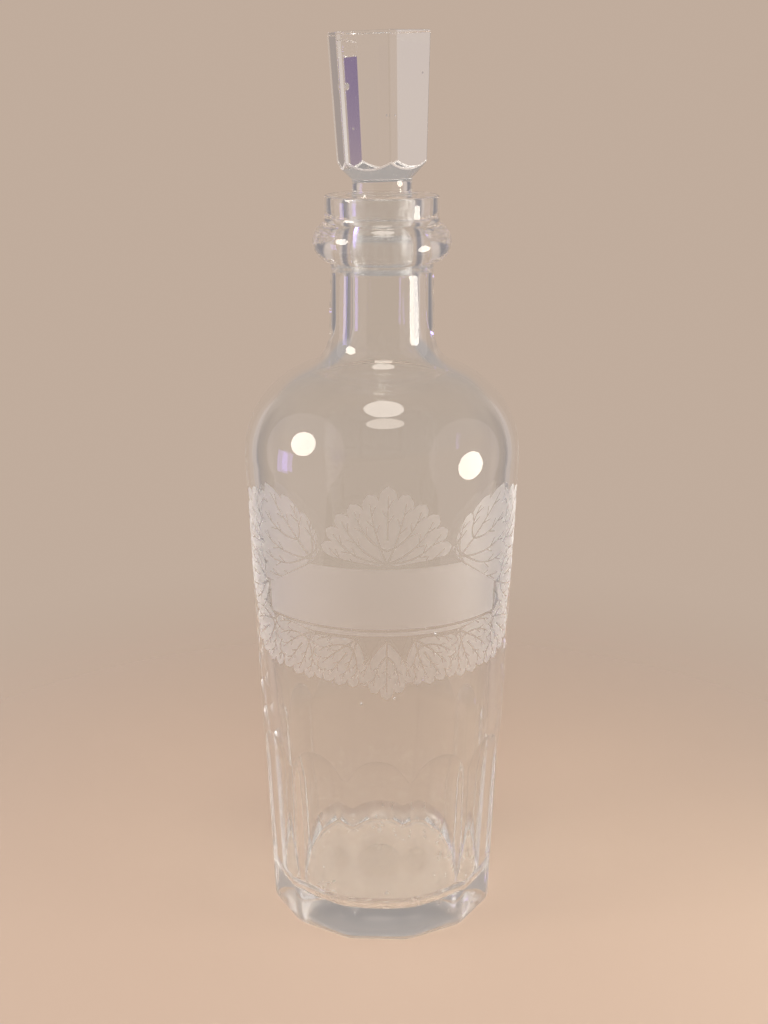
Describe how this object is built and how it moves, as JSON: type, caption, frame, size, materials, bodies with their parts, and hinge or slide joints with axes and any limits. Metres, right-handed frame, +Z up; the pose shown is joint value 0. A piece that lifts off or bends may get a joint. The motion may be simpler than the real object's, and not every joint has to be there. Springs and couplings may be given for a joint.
{
  "type": "rum bottle",
  "caption": "Tall colourless glass spirit bottle: flat-cut panels round the lower body, etched vine-leaf garland, ringed neck, and a hexagonal ground glass stopper that lifts out.",
  "frame": {"origin": "centre of the foot, on the surface that the bottle stands on", "axes": "+Z up along the bottle's axis; the middle of the etched front faces -Y; +X to the right of someone who looks at that front"},
  "size_m": [0.088, 0.088, 0.2855],
  "materials": {
    "bottle_glass": "polished colourless glass, with a frosted etched garland round the front of the body and a ground seat in the mouth",
    "stopper_glass": "polished colourless glass with cut facets, and a fine-ground plug"
  },
  "bodies": {
    "bottle": {"bottle": "bottle_glass"},
    "stopper": {"stopper": "stopper_glass"}
  },
  "joints": [
    {"name": "stopper_lift", "type": "slide", "parent": "bottle", "child": "stopper", "axis": [0, 0, 1], "range_m": [0, 0.06]}
  ]
}
